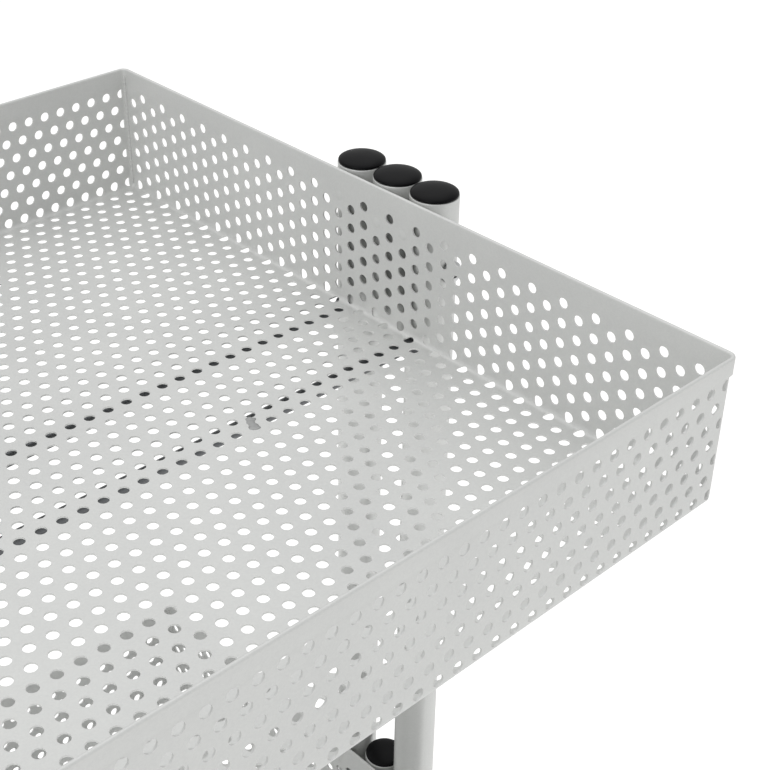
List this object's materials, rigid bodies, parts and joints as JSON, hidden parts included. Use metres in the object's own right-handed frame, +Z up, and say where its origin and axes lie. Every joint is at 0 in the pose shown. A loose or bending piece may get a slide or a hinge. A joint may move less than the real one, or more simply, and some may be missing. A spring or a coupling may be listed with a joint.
{
  "type": "salon trolley",
  "caption": "Three-tier salon trolley with perforated sheet-metal trays on paired tube uprights, with swivel casters.",
  "frame": {"origin": "centre of the footprint, on the surface the casters stand on", "axes": "+Z up, +X to the right along the short side of the trays, +Y towards the rear uprights along the long side"},
  "size_m": [0.406, 0.6332, 0.936],
  "materials": {
    "silver_powder_coat": "satin silver-grey powder coat on perforated sheet, tubes and beams",
    "dark_grey_enamel": "smooth dark grey stoved enamel on the rods under the trays",
    "black_polyethylene": "moulded, fine satin",
    "zinc_plated_steel": "bright zinc plating",
    "grey_rubber": "moulded grey thermoplastic rubber"
  },
  "bodies": {
    "trolley_frame": {"tray_lower": "silver_powder_coat", "tray_middle": "silver_powder_coat", "tray_upper": "silver_powder_coat", "rail_lower_left": "dark_grey_enamel", "rail_lower_right": "dark_grey_enamel", "rail_middle_left": "dark_grey_enamel", "rail_middle_right": "dark_grey_enamel", "rail_upper_left": "dark_grey_enamel", "rail_upper_right": "dark_grey_enamel", "upright_front_left": "silver_powder_coat", "upright_cap_front_left": "black_polyethylene", "upright_front_right": "silver_powder_coat", "upright_cap_front_right": "black_polyethylene", "centre_tube_front_lower": "silver_powder_coat", "centre_cap_front_lower": "black_polyethylene", "tie_bolt_front_lower": "zinc_plated_steel", "centre_tube_front_middle": "silver_powder_coat", "centre_cap_front_middle": "black_polyethylene", "tie_bolt_front_middle": "zinc_plated_steel", "centre_tube_front_upper": "silver_powder_coat", "centre_cap_front_upper": "black_polyethylene", "tie_bolt_front_upper": "zinc_plated_steel", "base_beam_front": "silver_powder_coat", "beam_cap_front_left": "black_polyethylene", "caster_front_left_stem": "zinc_plated_steel", "beam_cap_front_right": "black_polyethylene", "caster_front_right_stem": "zinc_plated_steel", "upright_rear_left": "silver_powder_coat", "upright_cap_rear_left": "black_polyethylene", "upright_rear_right": "silver_powder_coat", "upright_cap_rear_right": "black_polyethylene", "centre_tube_rear_lower": "silver_powder_coat", "centre_cap_rear_lower": "black_polyethylene", "tie_bolt_rear_lower": "zinc_plated_steel", "centre_tube_rear_middle": "silver_powder_coat", "centre_cap_rear_middle": "black_polyethylene", "tie_bolt_rear_middle": "zinc_plated_steel", "centre_tube_rear_upper": "silver_powder_coat", "centre_cap_rear_upper": "black_polyethylene", "tie_bolt_rear_upper": "zinc_plated_steel", "base_beam_rear": "silver_powder_coat", "beam_cap_rear_left": "black_polyethylene", "caster_rear_left_stem": "zinc_plated_steel", "beam_cap_rear_right": "black_polyethylene", "caster_rear_right_stem": "zinc_plated_steel"},
    "caster_front_left_swivel": {"caster_front_left_fork": "zinc_plated_steel", "caster_front_left_axle": "zinc_plated_steel"},
    "caster_front_left_wheel": {"caster_front_left_wheel": "grey_rubber"},
    "caster_front_left_brake": {"caster_front_left_brake": "black_polyethylene"},
    "caster_front_right_swivel": {"caster_front_right_fork": "zinc_plated_steel", "caster_front_right_axle": "zinc_plated_steel"},
    "caster_front_right_wheel": {"caster_front_right_wheel": "grey_rubber"},
    "caster_rear_left_swivel": {"caster_rear_left_fork": "zinc_plated_steel", "caster_rear_left_axle": "zinc_plated_steel"},
    "caster_rear_left_wheel": {"caster_rear_left_wheel": "grey_rubber"},
    "caster_rear_right_swivel": {"caster_rear_right_fork": "zinc_plated_steel", "caster_rear_right_axle": "zinc_plated_steel"},
    "caster_rear_right_wheel": {"caster_rear_right_wheel": "grey_rubber"},
    "caster_rear_right_brake": {"caster_rear_right_brake": "black_polyethylene"}
  },
  "joints": [
    {"name": "caster_front_left_swivel_turn", "type": "hinge", "parent": "trolley_frame", "child": "caster_front_left_swivel", "pos_m": [-0.178, -0.2676, 0.062], "axis": [0, 0, 1], "continuous": true},
    {"name": "caster_front_left_wheel_spin", "type": "hinge", "parent": "caster_front_left_swivel", "child": "caster_front_left_wheel", "pos_m": [-0.178, -0.2856, 0.025], "axis": [1, 0, 0], "continuous": true},
    {"name": "caster_front_left_brake_press", "type": "hinge", "parent": "caster_front_left_swivel", "child": "caster_front_left_brake", "pos_m": [-0.178, -0.2896, 0.056], "axis": [1, 0, 0], "range_deg": [0, 18]},
    {"name": "caster_front_right_swivel_turn", "type": "hinge", "parent": "trolley_frame", "child": "caster_front_right_swivel", "pos_m": [0.178, -0.2676, 0.062], "axis": [0, 0, 1], "continuous": true},
    {"name": "caster_front_right_wheel_spin", "type": "hinge", "parent": "caster_front_right_swivel", "child": "caster_front_right_wheel", "pos_m": [0.178, -0.2856, 0.025], "axis": [1, 0, 0], "continuous": true},
    {"name": "caster_rear_left_swivel_turn", "type": "hinge", "parent": "trolley_frame", "child": "caster_rear_left_swivel", "pos_m": [-0.178, 0.2676, 0.062], "axis": [0, 0, 1], "continuous": true},
    {"name": "caster_rear_left_wheel_spin", "type": "hinge", "parent": "caster_rear_left_swivel", "child": "caster_rear_left_wheel", "pos_m": [-0.178, 0.2856, 0.025], "axis": [1, 0, 0], "continuous": true},
    {"name": "caster_rear_right_swivel_turn", "type": "hinge", "parent": "trolley_frame", "child": "caster_rear_right_swivel", "pos_m": [0.178, 0.2676, 0.062], "axis": [0, 0, 1], "continuous": true},
    {"name": "caster_rear_right_wheel_spin", "type": "hinge", "parent": "caster_rear_right_swivel", "child": "caster_rear_right_wheel", "pos_m": [0.178, 0.2856, 0.025], "axis": [1, 0, 0], "continuous": true},
    {"name": "caster_rear_right_brake_press", "type": "hinge", "parent": "caster_rear_right_swivel", "child": "caster_rear_right_brake", "pos_m": [0.178, 0.2896, 0.056], "axis": [-1, 0, 0], "range_deg": [0, 18]}
  ]
}
